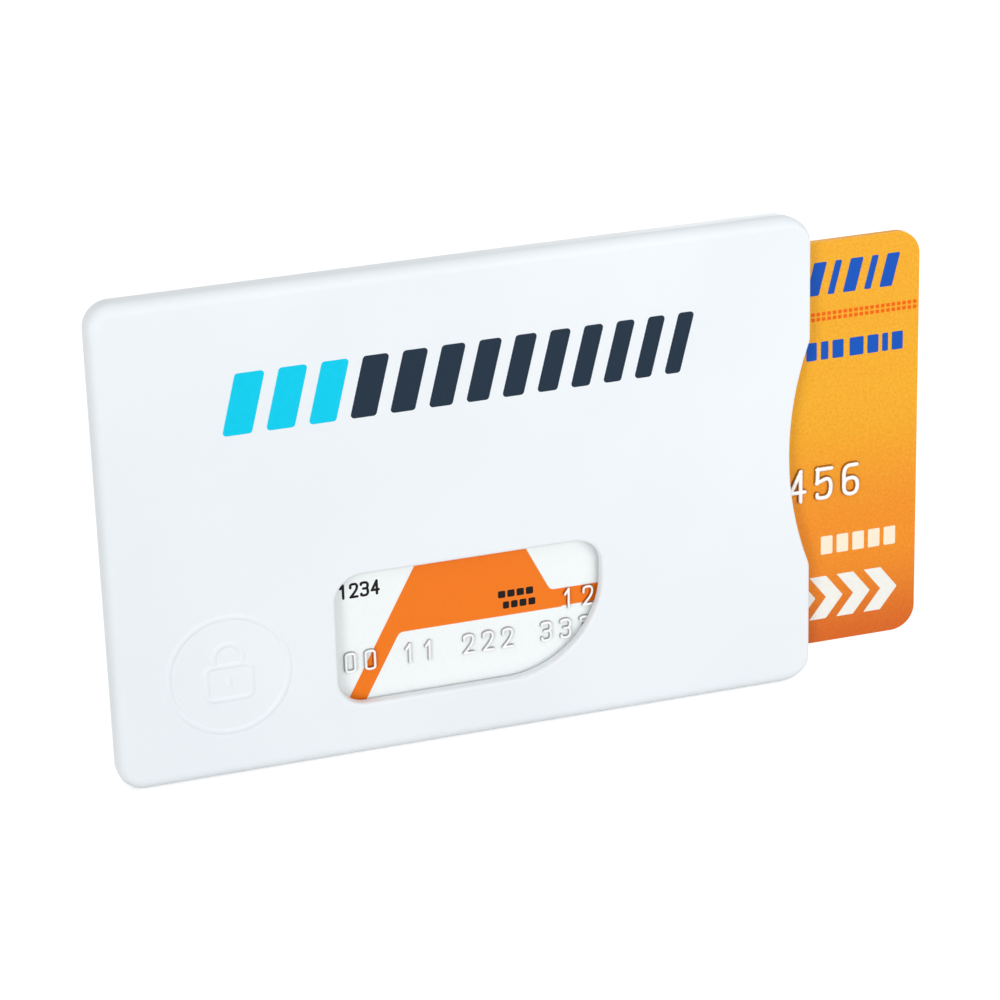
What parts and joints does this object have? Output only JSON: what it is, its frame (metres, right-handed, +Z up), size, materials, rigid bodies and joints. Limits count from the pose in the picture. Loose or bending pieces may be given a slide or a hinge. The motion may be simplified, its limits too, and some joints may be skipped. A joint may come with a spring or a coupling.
{
  "type": "rfid card sleeve",
  "caption": "Rigid white card sleeve with a thumb window and a finger notch, radio-blocking linings inside, and a plastic payment-size card that slides in and out of its open end.",
  "frame": {"origin": "centre of the flat rear face", "axes": "+X along the sleeve to its open end, +Y out of the rear face, +Z up along the short side; the printed front faces -Y"},
  "size_m": [0.1054, 0.0041, 0.0624],
  "materials": {
    "shell_plastic": "satin moulded polystyrene",
    "shield_foil": "plain rolled foil",
    "adhesive_film": "pale adhesive film",
    "card_print": "satin laminated print",
    "card_core": "plain tinted sheet",
    "antenna_copper": "plain copper track",
    "card_rear_print": "satin laminated print",
    "contact_gold": "gold plated",
    "chip_resin": "black potting resin",
    "magnetic_stripe": "dark magnetic coating",
    "signature_panel": "matte writing panel",
    "embossing_foil": "silver tipped"
  },
  "bodies": {
    "sleeve": {"front_shell": "shell_plastic", "rear_shell": "shell_plastic", "front_shield": "shield_foil", "rear_shield": "shield_foil", "front_shield_adhesive": "adhesive_film", "rear_shield_adhesive": "adhesive_film"},
    "card": {"card_front_sheet": "card_print", "card_inlay": "card_core", "card_antenna": "antenna_copper", "card_rear_sheet": "card_rear_print", "card_contact_plate": "contact_gold", "card_chip_potting": "chip_resin", "card_magnetic_stripe": "magnetic_stripe", "card_signature_panel": "signature_panel", "card_embossing": "embossing_foil"}
  },
  "joints": [
    {"name": "card_slide", "type": "slide", "parent": "sleeve", "child": "card", "axis": [1, 0, 0], "range_m": [-0.01695, 0.07]}
  ]
}
